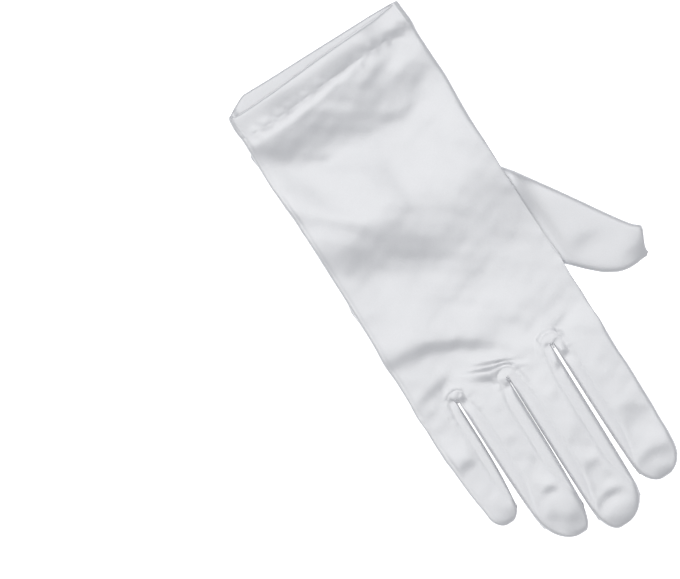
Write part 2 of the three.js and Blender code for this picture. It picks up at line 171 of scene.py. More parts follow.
# Folds of the back. Each drops along a line towards the fingertips and rises gently again on both
# sides, within a reach that is a share of its width. Its line's points are (across, along, drop,
# half width of the steep part), and where the drop is negative the cloth rises.
FOLDS = (
    # slope of the hem down to its stitching
    (2.0, ((-44, 10, 1.0, 7), (-32, 10, 1.25, 7), (-20, 10.5, 1.6, 7), (-8, 10.5, 1.45, 7),
           (4, 10.5, 1.3, 7), (16, 10.5, 1.25, 6), (24, 11.3, 1.4, 5), (30, 11.6, 1.45, 4.5),
           (36, 11.8, 1.3, 4.5), (44, 12, 0.9, 4.5))),
    # crest past the stitching
    (2.0, ((-41, 18.8, -0.1, 1.6), (-30, 19, -0.25, 1.6), (-20, 18.6, -0.3, 1.6),
           (-8, 17.4, -0.32, 1.6), (4, 15.8, -0.32, 1.6), (14, 14.3, -0.25, 1.6), (20, 12.6, 0, 1.6))),
    # broad sag of the back behind the hem, and its streaks
    (2.2, ((-44, 23, 1.7, 8), (-38, 24.2, 2.1, 8.5), (-32, 26.3, 3.2, 10), (-26, 28.3, 3.9, 13),
           (-20, 28.3, 4.1, 14.5), (-14, 27.6, 4.1, 13), (-8, 28.2, 4.3, 13.5), (-2, 30, 4.6, 16),
           (4, 31, 4.9, 20), (10, 31, 4.8, 22), (16, 30.5, 4.6, 22), (22, 31, 4.0, 20),
           (28, 32, 2.6, 13), (34, 30, 1.7, 9), (44, 27, 1.2, 9))),
    (2.0, ((4, 24.5, 0, 3), (10, 23.5, 0.25, 3), (16, 22.5, 0.45, 3.2), (22, 20, 0.5, 3.2),
           (28, 18.5, 0.35, 3), (34, 17, 0, 3))),
    (2.0, ((-26, 36, 0, 3), (-20, 39, 0.3, 3), (-14, 40.5, 0.25, 3), (-8, 41, 0, 3), (-3, 39.5, 0, 3),
           (4, 40, 0.15, 3), (10, 40.3, 0.3, 3), (16, 40.5, 0.42, 3), (22, 40.5, 0.38, 3),
           (28, 38.5, 0.15, 3), (34, 36, 0, 3))),
    # faint pull towards the thumb
    (2.5, ((10, 55, 0, 1.8), (18, 53, 0.16, 1.8), (26, 51, 0.22, 1.8), (33, 49.3, 0.16, 1.8),
           (39, 47.5, 0, 1.8))),
    # narrow pull from the little-finger side, and the broad sag that it runs into
    (2.1, ((-44, 50, 0.5, 4.5), (-38, 57, 0.65, 5), (-32, 61.5, 0.7, 5), (-26, 67, 0.6, 5),
           (-20, 72, 0.5, 5), (-14, 76, 0.25, 5), (-8, 79, 0, 5))),
    (2.2, ((-44, 76, 1.3, 11), (-38, 76.5, 1.45, 11), (-32, 79, 1.9, 10.5), (-26, 80.5, 2.6, 11),
           (-20, 82.5, 2.75, 13), (-14, 85.5, 2.85, 15.5), (-8, 87.5, 3.1, 18.5), (-2, 90.5, 3.2, 20),
           (4, 92.5, 3.05, 21), (10, 94.5, 2.95, 22), (16, 96, 2.55, 22), (22, 96.5, 2.3, 22),
           (28, 96.5, 1.95, 21), (34, 96, 1.75, 20), (44, 95, 1.55, 20))),
    # sharp fold over the knuckles
    (3.2, ((-46, 126, 0.5, 3.4), (-38, 126.3, 0.7, 3.4), (-28, 127.6, 1.05, 3.8), (-20, 130, 1.0, 3.8),
           (-12, 133.3, 0.95, 3.8), (-4, 137.8, 0.7, 3.8), (2, 142, 0.4, 3.4), (7, 147, 0, 3))),
    # pulls at the crotches
    (2.2, ((-40, 147.5, 0, 2.4), (-35, 145.5, 0.2, 2.4), (-29, 144, 0.2, 2.4), (-24, 143.3, 0.1, 2),
           (-20, 143, 0, 2))),
    (1.9, ((-13, 143.8, 0, 1.3), (-8, 145.8, 0.3, 1.3), (-3, 147.8, 0.4, 1.3), (1, 149.6, 0.3, 1.3),
           (5, 151.5, 0, 1.3))),
    (2.4, ((-19, 143.8, 0, 1.0), (-14, 146, -0.3, 1.0), (-7, 148.8, -0.5, 1.0), (0, 150.8, -0.4, 1.0),
           (6, 153.4, -0.2, 1.0), (9, 155.2, 0, 1.0))),
    (2.1, ((-19, 147.5, 0, 2.4), (-14, 150.2, 0.4, 2.4), (-9, 152.3, 0.8, 2.4), (-5, 155, 0.5, 2.4),
           (-3, 158, 0, 2.4))),
    (2.4, ((20, 151, 0, 1.8), (24, 148.8, 0.2, 1.8), (29, 147.2, 0.2, 1.8), (34, 146, 0, 1.8))),
)

# Small slopes that dim the fingers, and those of the strips at the crotches, as the thumb's above
FINGER_SLOPES = (
    (-35.5, 177.5, 5, 3.2, 0.75), (-33, 202, 4, 2.5, 0.15), (-10, 189, 6, 4.5, 0.4),
    (-12.5, 203.7, 3.4, 2.0, 0.5), (-17, 214, 3.0, 2.6, 0.5), (-9, 219, 5, 3.0, 0.55),
    (5.5, 204, 5.5, 3.0, 0.5), (7.5, 218.5, 5.5, 2.0, 0.6), (-1, 190, 2.5, 4, 0.2),
    (16, 181, 2.6, 3.5, 0.3), (33, 194, 7, 5.5, 0.7), (31, 213.5, 8, 2.8, 0.45), (25, 171, 3, 4, 0.2),
)
STRIP_SLOPES = (
    (-22.3, 153.5, 2.4, 1.8, 1.0), (-27.2, 150.6, 1.6, 1.2, 0.7), (-6.5, 155.5, 2.2, 2.6, 0.8),
    (-3.6, 158, 1.6, 1.2, 0.5), (23.8, 159.5, 2.4, 1.6, 0.9), (18, 162.5, 1.6, 1.6, 0.5),
    (18.5, 152.5, 1.8, 1.3, 0.5), (23, 152.8, 1.6, 1.2, 0.4),
)
STEEPNESS = 1.2

# Uneven waves of the cloth: (height, (shortest, longest), seed of the waves)
BACK_WAVES = ((0.10, (16, 40), 3), (0.03, (6, 13), 5))
PALM_WAVES = (0.16, (14, 34), 7)
OUTLINE_WAVES = (0.16, (9, 24), 11)
HEM_WAVES = (HEM_PUCKER, (2.6, 6.5), 21)
WAVE_COUNT = 14

# Length of run given to each crotch's seams, so that their puckers differ, and a distance from any seam
SEAM_RUN = 40
FAR = 1e3

# Fineness of the meshes
HAND_ROWS = 118
FINGER_ROWS = 58
TIP_ROWS = 18
STRIP_TIP_ROWS = 5
LANE_COLUMNS = (24, 20, 20, 24)
CROTCH_COLUMNS = 12
STRIP_COLUMNS = 13
STRIP_TURNS = 12
HEM_COLUMNS = 300
HEM_ROWS = 20
HEM_ROLL_ROWS = 11
HEM_INNER_ROWS = 14
THUMB_COLUMNS = 72
THUMB_ROWS = (13, 61, 19)
TABLE_SAMPLES = 240
EDGE_SHARE = 0.012
MERGE_DISTANCE = 0.01
CORNER_ANGLE = math.radians(50)

# Camera: straight above, turned so that the fingers point down to the right. Lengths are in metres.
VIEW_TURN = math.atan2(0.535, 0.845)
VIEW_CENTRE = (-0.05865, 0.02775)
VIEW_WIDTH = 0.2788
VIEW_DISTANCE = 5.0
VIEW_HEIGHT = 0.006
SENSOR_WIDTH = 36

# Softbox: where it points, how far it leans towards the wrist, its distance, shift, size and power
LIGHT_TARGET = (-0.018, 0.0, 0)
LIGHT_LEAN = math.radians(9)
LIGHT_AWAY = 4.6
LIGHT_SHIFT = 0.2
LIGHT_SIZE = (3.8, 2.4)
LIGHT_POWER = 150

# Pale room: bright walls below one height of the sky's direction, dim above another
WALL_HEIGHTS = (0.25, 0.45)
WALL_STRENGTHS = (1.8, 0.1)

# Satin: colour, threads in metres, and the ranges of its tones and of its roughness
SATIN_COLOR = (0.50, 0.51, 0.54, 1)
THREAD_SIZE = 0.00035
WEAVE_DEPTH = 0.00005
WEAVE_HEIGHT = 0.35
GRAIN_SHARE = 0.8
CLOUD_SCALE = 45.0
CLOUD_TONES = (0.95, 1.05)
THREAD_TONES = (0.93, 1.06)
SATIN_ROUGHNESS = (0.3, 0.38)
SATIN_IOR = 1.6
SHEEN = 0.1
SHEEN_ROUGHNESS = 0.35

# Floor
FLOOR_ROUGHNESS = 0.7
FLOOR_COLOR = (0.6, 0.6, 0.6, 1)
FLOOR_SIZE = 6


def smooth(x):
    """Smooth step of numbers from 0 to 1."""
    x = np.clip(x, 0.0, 1.0)
    return x * x * (3 - 2 * x)


@functools.lru_cache(maxsize=None)
def rounded_table(table, column):
    """A table's keys and column, sampled finely with its corners rounded."""
    keys = np.array([row[0] for row in table])
    values = np.array([row[column] for row in table])
    fine = np.linspace(keys[0], keys[-1], TABLE_SAMPLES)
    spread = (keys[-1] - keys[0]) * 0.012
    weight = np.exp(-(((fine[:, None] - fine[None, :]) / spread) ** 2))
    return fine, weight @ np.interp(fine, keys, values) / weight.sum(axis=1)


def table_value(table, place, column):
    """A table's column at places between its rows, without corners."""
    return np.interp(place, *rounded_table(table, column))


# Places of the fingers and crotches across the hand
HAND_HALF = (sum(f["width"] for f in FINGERS) + sum(c["gap"] for c in CROTCHES)) / 2
finger_centres = []
crotch_centres = []
edge = -HAND_HALF
for number, finger in enumerate(FINGERS):
    finger_centres.append(edge + finger["width"] / 2)
    edge += finger["width"]
    if number < len(CROTCHES):
        crotch_centres.append(edge + CROTCHES[number]["gap"] / 2)
        edge += CROTCHES[number]["gap"]

# Where the glove's own axes lie in the frame. The opening's edge reaches a little past along 0.
MOUTH_REACH = -min(row[2] for row in MOUTH_EDGE)
panel_low, panel_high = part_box("back_panel")
hem_low, hem_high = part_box("cuff_hem")
ORIGIN_X = (panel_low[0] + panel_high[0]) / 2
ORIGIN_Y = hem_high[1] - MOUTH_REACH * MOUTH_SETBACK * MM
ORIGIN_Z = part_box("palm_panel")[0][2]


def place_points(points):
    """Cloth points in millimetres as frame coordinates in metres."""
    points = np.asarray(points, float)
    return np.stack([
        ORIGIN_X + points[..., 0] * MM,
        ORIGIN_Y - points[..., 1] * MM,
        ORIGIN_Z + points[..., 2] * MM,
    ], axis=-1)


# The thumb's line under the palm
thumb_axis = np.array([math.sin(THUMB_ANGLE), math.cos(THUMB_ANGLE)])
thumb_side = np.array([-thumb_axis[1], thumb_axis[0]])
thumb_origin = np.array([THUMB_START[0] * HAND_HALF, THUMB_START[1] * PALM_LENGTH])


def thumb_lift(across, along):
    """How far the thumb lifts the palm's cloth."""
    x, y = across - thumb_origin[0], along - thumb_origin[1]
    run = x * thumb_axis[0] + y * thumb_axis[1]
    side = x * thumb_side[0] + y * thumb_side[1]
    share = np.clip(run / THUMB_LENGTH, 0.2, 1)
    half = table_value(THUMB_SECTIONS, share, 1) * THUMB_WIDTH / 2
    nearest = np.clip(run, half, THUMB_LENGTH - half)
    away = np.hypot(run - nearest, side) - half - THUMB_MARGIN
    return (THUMB_THICKNESS + THUMB_CLEARANCE) * (1 - smooth(away / THUMB_LIFT_REACH))


def line_samples(points, spacing=0.8):
    """Points along a smooth curve through a fold's points, with the height at each."""
    points = np.array(points, float)
    padded = np.vstack([2 * points[0] - points[1], points, 2 * points[-1] - points[-2]])
    out = []
    for i in range(1, len(padded) - 2):
        a, b, c, d = padded[i - 1:i + 3]
        steps = max(2, int(np.hypot(*(c - b)[:2]) / spacing))
        t = np.linspace(0, 1, steps, endpoint=False)[:, None]
        out.append(0.5 * (2 * b + (c - a) * t + (2 * a - 5 * b + 4 * c - d) * t ** 2
                          + (3 * b - a - 3 * c + d) * t ** 3))
    out.append(points[-1:])
    return np.vstack(out)


def fold_relief(across, along):
    """Height that the folds give the back at each point."""
    height = np.zeros(np.shape(across))
    for reach, points in FOLDS:
        line = line_samples(points)
        away = along - np.interp(across, line[:, 0], line[:, 1])
        drop = np.interp(across, line[:, 0], line[:, 2])
        share = away / np.interp(across, line[:, 0], line[:, 3])
        height -= 0.5 * drop * np.tanh(STEEPNESS * share) * np.exp(-((share / reach) ** 2))
    return height


def slope_relief(slopes, across, along):
    """Height that a list of small slopes gives the cloth. Each bends a little towards the wrist."""
    height = np.zeros(np.shape(across))
    for x, y, half, width, drop in slopes:
        away = along - y - 0.12 * (across - x) ** 2 / half
        fade = np.exp(-((across - x) / half) ** 2 - (away / (2.2 * width)) ** 2)
        height -= 0.5 * drop * np.tanh(STEEPNESS * away / width) * fade
    return height


def soft_waves(across, along, lengths, seed):
    """Gentle uneven waves of unit height, the same at every run."""
    chance = np.random.default_rng(seed)
    height = np.zeros(np.shape(across))
    for _ in range(WAVE_COUNT):
        turn = chance.uniform(0, math.pi)
        length = chance.uniform(*lengths)
        phase = chance.uniform(0, 2 * math.pi)
        run = across * math.cos(turn) + along * math.sin(turn)
        height += np.sin(2 * math.pi * run / length + phase)
    return height / WAVE_COUNT ** 0.5


def flat_rise(rise, flat):
    """Rise of the palm's side of a section, which levels out where it passes the flat part's share."""
    return np.sin(np.minimum(1, rise / flat) * (math.pi / 2))


def crown_rise(share, flatness):
    """Rise of the back's side of a section: 1 over most of its width, 0 at its edges."""
    return np.maximum(1 - np.abs(share) ** flatness, 0.0) ** (1 / flatness)


def hand_width_at(along):
    """Half width of the hand."""
    return HAND_HALF * table_value(HAND_SECTIONS, along / PALM_LENGTH, 1)


def mouth_line(share, side):
    """How far the opening's edge is set back at a share of the hand's half width."""
    return MOUTH_SETBACK * table_value(MOUTH_EDGE, share, 1 if side == "back" else 2)


def hand_height(share, along, side):
    """Height of the hand's cloth at a share of its half width."""
    share = np.clip(share, -1, 1)
    lift = thumb_lift(share * HAND_HALF, along)
    if side == "palm":
        rise = np.sqrt(1 - share ** 2)
        return lift + FOLD_HEIGHT * (1 - flat_rise(rise, HAND_FLAT_PART))
    full = HAND_THICKNESS * table_value(HAND_SECTIONS, along / PALM_LENGTH, 2)
    rise = crown_rise(share, BACK_FLATNESS)
    return lift * (1 - rise) + FOLD_HEIGHT + (full - FOLD_HEIGHT) * rise


def finger_section(number, row, crotch_along):
    """Place and size of a finger's section. row runs from 0 to 1 up to the tip, then to 2 round it."""
    finger = FINGERS[number]
    tip = finger["round"]
    tip_start = PALM_LENGTH + finger["length"] - tip
    straight = np.minimum(row, 1.0)
    turn = np.maximum(row - 1.0, 0.0) * (math.pi / 2)
    close = np.maximum(np.cos(turn), 0.0) ** TIP_CLOSE
    narrow = TIP_END + (1 - TIP_END) * np.maximum(np.cos(turn), 0.0)
    thick = finger["thickness"] * (1 + FINGER_SWELL * straight)
    middle = thick * FINGER_MIDDLE
    width = finger["width"] + (finger["tip_width"] - finger["width"]) * straight ** FINGER_TAPER
    sharp = 1 - smooth(straight / CROTCH_SHARE)
    return {
        "flat": FINGER_FLATNESS + (CROTCH_FLATNESS - FINGER_FLATNESS) * sharp,
        "along": crotch_along + (tip_start - crotch_along) * straight + tip * np.sin(turn),
        "centre": finger_centres[number] + finger["lean"] * straight
        + finger["skew"] * finger["tip_width"] / 2 * (1 - narrow),
        "half": width / 2 * narrow,
        "middle": middle,
        "up": (thick - middle) * close,
        "down": middle * close,
    }


def section_height(size, angle, side):
    """Height of a finger's section at an angle from its side."""
    if side == "palm":
        rise = flat_rise(np.maximum(np.sin(angle), 0.0), FINGER_FLAT_PART)
        return size["middle"] - size["down"] * rise
    return size["middle"] + size["up"] * crown_rise(np.cos(angle), size["flat"])


def blended_section(number, turn):
    """Section at a turn round a crotch, between those of the two fingers."""
    share = (1 - math.cos(turn)) / 2
    low = finger_section(number, 0.0, 0.0)
    high = finger_section(number + 1, 0.0, 0.0)
    return {key: low[key] + (high[key] - low[key]) * share
            for key in ("half", "middle", "up", "down", "flat")}


def seam_share(row):
    """How open the side of a finger is to its strip: 1 along the finger, 0 round the tip."""
    return 1 - smooth((row - SEAM_CLOSE[0]) / SEAM_CLOSE[1])


def seam_turn(row, side):
    """Angle from a finger's side to its seam, which spreads a little past the crotch."""
    spread = SEAM_SPREAD * smooth(row / SPREAD_END) if side == "back" else 0.0
    return (SEAM_TURN[side] + spread) * seam_share(row)


def root_along(number, share):
    """Where a finger's section starts along the glove, between the crotches on its two sides."""
    low = CROTCHES[max(0, number - 1)]["ahead"]
    high = CROTCHES[min(len(CROTCHES) - 1, number)]["ahead"]
    return PALM_LENGTH + low + (high - low) * share


def lane_points(number, share, row, side):
    """Points of the back or palm cloth on a finger, across its lane by share and along it by row."""
    size = finger_section(number, row, root_along(number, share))
    seam = seam_turn(row, side)
    start = 0 if number == 0 else seam
    end = 0 if number == len(FINGERS) - 1 else seam
    angle = (math.pi - start) + (end - math.pi + start) * share
    across = size["centre"] + size["half"] * np.cos(angle)
    return np.stack([across, size["along"], section_height(size, angle, side)], axis=-1)


def crotch_points(number, turn, angle, side):
    """Points of the seam round a crotch."""
    size = blended_section(number, turn)
    reach = CROTCHES[number]["gap"] / 2 + size["half"] * (1 - np.cos(angle))
    centre = PALM_LENGTH + CROTCHES[number]["ahead"]
    return np.stack([
        crotch_centres[number] - reach * np.cos(turn),
        centre - reach * np.sin(turn),
        section_height(size, np.abs(angle), side),
    ], axis=-1)


def deselect():
    """Leave no object selected."""
    bpy.ops.object.select_all(action="DESELECT")


def select_only(piece):
    """Make one object the selected and active one."""
    deselect()
    piece.select_set(True)
    bpy.context.view_layer.objects.active = piece


def grid_piece(name, points, keep=None):
    """A grid primitive whose vertices are moved to the rows and columns of points."""
    rows, columns = points.shape[:2]
    deselect()
    bpy.ops.mesh.primitive_grid_add(x_subdivisions=columns - 1, y_subdivisions=rows - 1, size=2)
    piece = bpy.context.object
    piece.name = name
    mesh = piece.data
    mesh.name = name
    flat = np.empty(len(mesh.vertices) * 3)
    mesh.vertices.foreach_get("co", flat)
    flat = flat.reshape(-1, 3)
    column = np.rint((flat[:, 0] + 1) / 2 * (columns - 1)).astype(int)
    row = np.rint((flat[:, 1] + 1) / 2 * (rows - 1)).astype(int)
    mesh.vertices.foreach_set("co", place_points(points[row, column]).ravel())
    if keep is not None:
        loose = ~keep[row, column]
        bpy.ops.object.mode_set(mode="EDIT")
        bpy.ops.mesh.select_mode(type="VERT")
        bpy.ops.mesh.select_all(action="DESELECT")
        bpy.ops.object.mode_set(mode="OBJECT")
        mesh.vertices.foreach_set("select", loose)
        bpy.ops.object.mode_set(mode="EDIT")
        bpy.ops.mesh.delete(type="VERT")
        bpy.ops.object.mode_set(mode="OBJECT")
    mesh.update()
    return piece


def slot_distance(across, along):
    """Distance to the nearest crotch's seam, and the run along that seam."""
    nearest = np.full(np.shape(across), FAR)
    run = np.zeros(np.shape(across))
    for number, crotch in enumerate(CROTCHES):
        x = across - crotch_centres[number]
        y = along - PALM_LENGTH - crotch["ahead"]
        turn = np.arctan2(x, -np.minimum(y, 0))
        low, high = FINGERS[number]["width"] / 2, FINGERS[number + 1]["width"] / 2
        half = low + (high - low) * (1 + np.sin(turn)) / 2
        reach = crotch["gap"] / 2 + half * (1 - math.cos(SEAM_TURN["back"]))
        away = np.hypot(x, np.minimum(y, 0)) - reach
        here = reach * turn + np.sign(x) * np.maximum(y, 0)
        run = np.where(away < nearest, here + SEAM_RUN * number, run)
        nearest = np.minimum(nearest, away)
    return nearest, run


def seam_roll(distance, run, past_palm):
    """Height lost beside a seam, with the small puckers that its thread pulls in at the crotches."""
    distance = np.maximum(distance, 0)
    height = CROTCH_PUCKER + (FINGER_PUCKER - CROTCH_PUCKER) * smooth((past_palm - 1) / 8)
    wave = np.sin(run * 1.85 + 1.4 * np.sin(run * 0.31)) * (0.6 + 0.4 * np.sin(run * 0.83))
    pucker = height * np.exp(-((distance - 1.0) / 1.5) ** 2) * wave
    return SEAM_DEPTH * np.exp(-(distance / SEAM_WIDTH) ** 2) - pucker


def hem_line_relief(across, away):
    """Height at the hem's stitching: a shallow groove, its stitches and the puckers beside them."""
    stitch = 0.55 + 0.45 * np.sin(2 * math.pi * across / STITCH_LENGTH)
    groove = HEM_GROOVE * np.exp(-((away / HEM_GROOVE_WIDTH) ** 2)) * stitch
    height, lengths, seed = HEM_WAVES
    pucker = soft_waves(across, away * 0.25, lengths, seed)
    return height * (pucker * np.exp(-((np.abs(away) - 1.5) / 1.7) ** 2)) - groove


def lane_normal(size, angle, side, towards_plan):
    """Outward direction of the cloth at a lane's seam."""
    if side == "palm":
        out, up = 0.6, -0.8
    else:
        out, up = math.cos(angle) / size["half"], math.sin(angle) / max(size["up"], 1e-6)
        length = math.hypot(out, up)
        out, up = out / length, up / length
    return np.array([out * towards_plan[0], out * towards_plan[1], up])


def trank_columns(side):
    """Columns of the hand's cloth from the little-finger side to the thumb side."""
    columns = []
    for number in range(len(FINGERS)):
        steps = LANE_COLUMNS[number]
        if number > 0:
            columns.append({"finger": number, "share": 0.0, "tuck": True})
        shares = sorted([step / steps for step in range(steps + 1)] + [EDGE_SHARE, 1 - EDGE_SHARE])
        columns += [{"finger": number, "share": share} for share in shares]
        if number < len(CROTCHES):
            columns.append({"finger": number, "share": 1.0, "tuck": True})
            for step in range(1, CROTCH_COLUMNS):
                columns.append({"crotch": number, "turn": math.pi * step / CROTCH_COLUMNS})
    return [dict(column, side=side) for column in columns]


def crotch_turn(column):
    """Turn round its crotch at which a column of the hand ends."""
    if "crotch" in column:
        return column["crotch"], column["turn"]
    first = 0.45 * math.pi / CROTCH_COLUMNS
    if column["share"] == 1.0:
        return column["finger"], first
    return column["finger"] - 1, math.pi - first


def hand_column(column, steps):
    """Points of one column over the hand, and how far its section rises at each."""
    side = column["side"]
    if "crotch" in column or "tuck" in column:
        number, turn = crotch_turn(column)
        root = crotch_points(number, turn, SEAM_TURN[side], side)
        first = crotch_points(number, 0.0, SEAM_TURN[side], side)
        last = crotch_points(number, math.pi, SEAM_TURN[side], side)
        end = first + (last - first) * turn / math.pi
    else:
        root = lane_points(column["finger"], column["share"], 0.0, side)
        end = root
    share = np.clip(end[0] / HAND_HALF, -1, 1)
    start = mouth_line(share, side) + HEM_WIDTH
    even = start + (end[1] - start) * steps
    near = smooth(1 - (end[1] - even) / ROOT_REACH) ** ROOT_EASE
    along = even + (root[1] - end[1]) * near
    half = hand_width_at(along)
    across = share * half
    across = across + (root[0] - across) * near
    across_share = np.clip(across / half, -1, 1)
    height = hand_height(across_share, along, side)
    height = height + (root[2] - height) * near
    return np.stack([across, along, height], axis=-1), crown_rise(across_share, BACK_FLATNESS)


def finger_column(column, rows):
    """Points of one column over its finger, and its distance from the finger's sides."""
    number, side = column["finger"], column["side"]
    points = lane_points(number, column["share"], rows, side)
    size = finger_section(number, rows, root_along(number, column["share"]))
    seam = seam_turn(rows, side)
    low = 0 if number == 0 else seam
    high = 0 if number == len(FINGERS) - 1 else seam
    left = points[:, 0] - (size["centre"] - size["half"] * np.cos(low))
    right = size["centre"] + size["half"] * np.cos(high) - points[:, 0]
    return points, left, right, size, seam


def finger_rows(tip_rows):
    """Rows of a finger's sections up to its tip, and the first rows round the tip."""
    straight = np.arange(1, FINGER_ROWS + 1) / FINGER_ROWS
    turn = np.arange(1, tip_rows + 1) / TIP_ROWS * math.pi / 2
    return np.concatenate([straight, 1 + np.sin(turn) ** 1.15])


def tuck_share(open_share):
    """Share of the seam allowance that is turned in, which runs out where a seam closes."""
    return min(1, open_share * TUCK_EASE)


def trank_relief(points, weight, back):
    """Height that folds, slopes, waves, stitching and the side seam give the hand's cloth."""
    across, along = points[..., 0], points[..., 1]
    relief = (fold_relief(across, along) + slope_relief(FINGER_SLOPES, across, along)) * weight * back
    for height, lengths, seed in BACK_WAVES:
        relief += height * soft_waves(across, along, lengths, seed) * weight * back
    height, lengths, seed = PALM_WAVES
    relief += height * np.abs(soft_waves(across, along, lengths, seed)) * weight * ~back
    relief += hem_line_relief(across, along - points[:1, :, 1]) * np.where(back, 1.0, 0.0)
    past_seam = across - points[:, :1, 0] - SIDE_SEAM
    before_tip = FINGERS[0]["length"] - (along - PALM_LENGTH)
    groove = np.exp(-(past_seam / SIDE_SEAM_WIDTH) ** 2) * smooth(before_tip / SIDE_SEAM_END)
    return relief - SIDE_SEAM_DEPTH * groove * back


def trank_points():
    """Rows and columns of the hand's cloth, with the vertices to keep."""
    columns = trank_columns("back") + list(reversed(trank_columns("palm")))[1:]
    even = np.linspace(0, 1, HAND_ROWS + 1)
    steps = even - 0.5 * np.sin(2 * math.pi * even) / (2 * math.pi)
    steps = np.concatenate([[0, 0.0008], steps[1:-1], [0.9992, 1]])
    roots = len(steps)
    rows = finger_rows(TIP_ROWS)
    shape = (roots + len(rows), len(columns))
    points, tucks = np.zeros((*shape, 3)), np.zeros((*shape, 3))
    weight, distance, run = np.zeros(shape), np.full(shape, FAR), np.zeros(shape)
    keep = np.ones(shape, bool)
    back = np.array([column["side"] == "back" for column in columns])
    for index, column in enumerate(columns):
        side = column["side"]
        hand, rise = hand_column(column, steps)
        away, seam_run = slot_distance(hand[:, 0], hand[:, 1])
        points[:roots, index] = hand
        distance[:roots, index] = away
        run[:roots, index] = seam_run
        weight[:roots, index] = rise * smooth(away / HAND_SEAM_FADE)
        if "crotch" in column:
            number, turn = crotch_turn(column)
            size = finger_section(number, 0.0, 0.0)
            outward = lane_normal(size, SEAM_TURN[side], side, (math.cos(turn), math.sin(turn)))
            points[roots, index] = hand[-1]
            tucks[roots, index] = -outward * ALLOWANCE
            distance[roots, index] = away[-1]
            run[roots, index] = seam_run[-1]
            keep[roots + 1:, index] = False
            continue
        number = column["finger"]
        on_finger, left, right, size, seam = finger_column(column, rows)
        left_seam = np.full(len(rows), FAR) if number == 0 else left
        right_seam = np.full(len(rows), FAR) if number == len(FINGERS) - 1 else right
        nearest = np.where(left_seam < right_seam, number - 1, number + 1)
        points[roots:, index] = on_finger
        distance[roots:, index] = np.minimum(left_seam, right_seam)
        run[roots:, index] = SEAM_RUN * nearest + 3 + (on_finger[:, 1] - PALM_LENGTH)
        tip_fade = 1 - smooth((rows - RELIEF_END[0]) / RELIEF_END[1])
        weight[roots:, index] = smooth(np.minimum(left, right) / FINGER_SEAM_FADE) * tip_fade
        if "tuck" in column:
            towards = -1 if column["share"] == 0.0 else 1
            for row, value in enumerate(rows):
                here = {"half": size["half"][row], "up": size["up"][row]}
                outward = lane_normal(here, max(seam[row], LEAST_TURN), side, (towards, 0))
                tucks[roots + row, index] = -outward * ALLOWANCE * tuck_share(seam_share(value))
    across, along = points[..., 0], points[..., 1]
    relief = trank_relief(points, weight, back)
    roll = seam_roll(distance, run, along - PALM_LENGTH) * np.where(back, 1.0, -1.0)
    roll[roots:] *= seam_share(rows)[:, None]
    points[..., 2] = np.maximum(points[..., 2] + relief - roll, FLOOR_GAP)
    height, lengths, seed = OUTLINE_WAVES
    waves = height * soft_waves(along * 0.3, along, lengths, seed)
    points[..., 0] += waves * (1 - np.minimum(weight, 1)) * (np.abs(across) > OUTLINE_EDGE)
    return points + tucks, keep


def merge_close(piece):
    """Join the vertices that lie on each other, and make the faces look the same way."""
    select_only(piece)
    bpy.ops.object.mode_set(mode="EDIT")
    bpy.ops.mesh.select_all(action="SELECT")
    bpy.ops.mesh.remove_doubles(threshold=MERGE_DISTANCE * MM)
    bpy.ops.mesh.normals_make_consistent(inside=False)
    bpy.ops.object.mode_set(mode="OBJECT")


def turn_outwards(piece):
    """Turn an open piece so that its highest face looks up."""
    highest = max(piece.data.polygons, key=lambda face: face.center.z)
    if highest.normal.z < 0:
        select_only(piece)
        bpy.ops.object.mode_set(mode="EDIT")
        bpy.ops.mesh.select_all(action="SELECT")
        bpy.ops.mesh.flip_normals()
        bpy.ops.object.mode_set(mode="OBJECT")


def thicken(piece, thickness):
    """Give the cloth its thickness, inwards from the points."""
    turn_outwards(piece)
    solidify = piece.modifiers.new("Cloth thickness", "SOLIDIFY")
    solidify.thickness = thickness * MM
    solidify.offset = -1
    solidify.use_rim = True
    solidify.use_even_offset = False
    select_only(piece)
    bpy.ops.object.modifier_apply(modifier="Cloth thickness")


def smooth_piece(piece):
    """Smooth shading, with the corners at the cloth's edges kept."""
    select_only(piece)
    bpy.ops.object.shade_smooth_by_angle(angle=CORNER_ANGLE)


def cloth_piece(name, points, material, slot, *nodes, keep=None):
    """A closed piece of cloth over a grid of points, in the place of the frame's nodes."""
    piece = grid_piece(name, points, keep)
    merge_close(piece)
    thicken(piece, SATIN_THICKNESS)
    smooth_piece(piece)
    piece.data.materials.append(material)
    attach(piece, "root")
    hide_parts(*nodes)
    return piece


def make_trank(material):
    """Back and palm of the glove, with all its fingers, as one cloth."""
    points, keep = trank_points()
    return cloth_piece("trank", points, material, "satin", "back_panel", "palm_panel", keep=keep)


def strip_on_finger(number, finger, row, shared):
    """Angle, seam turns, section, direction, openness and place of a strip beside a finger."""
    size = finger_section(finger, np.array(row), PALM_LENGTH + CROTCHES[number]["ahead"])
    top, bottom = float(seam_turn(row, "back")), float(seam_turn(row, "palm"))
    angle = top - (top + bottom) * shared
    towards = 1 if finger == number else -1
    x = size["centre"] + towards * size["half"] * math.cos(angle)
    return angle, top, bottom, size, (towards, 0), float(seam_share(row)), x, float(size["along"])


def strip_at_crotch(number, turn, shared):
    """The same at a turn round the crotch, where the strip's middle bulges out between the fingers."""
    crotch = CROTCHES[number]
    size = blended_section(number, turn)
    top, bottom = SEAM_TURN["back"], SEAM_TURN["palm"]
    angle = top - (top + bottom) * shared
    reach = crotch["gap"] / 2 + size["half"] * (1 - math.cos(angle))
    x = crotch_centres[number] - reach * math.cos(turn)
    y = PALM_LENGTH + crotch["ahead"] - reach * math.sin(turn)
    y += crotch["belly"] * (math.sin(math.pi * shared) ** 0.6 * math.sin(turn) ** 4)
    return angle, top, bottom, size, (math.cos(turn), math.sin(turn)), 1.0, x, y


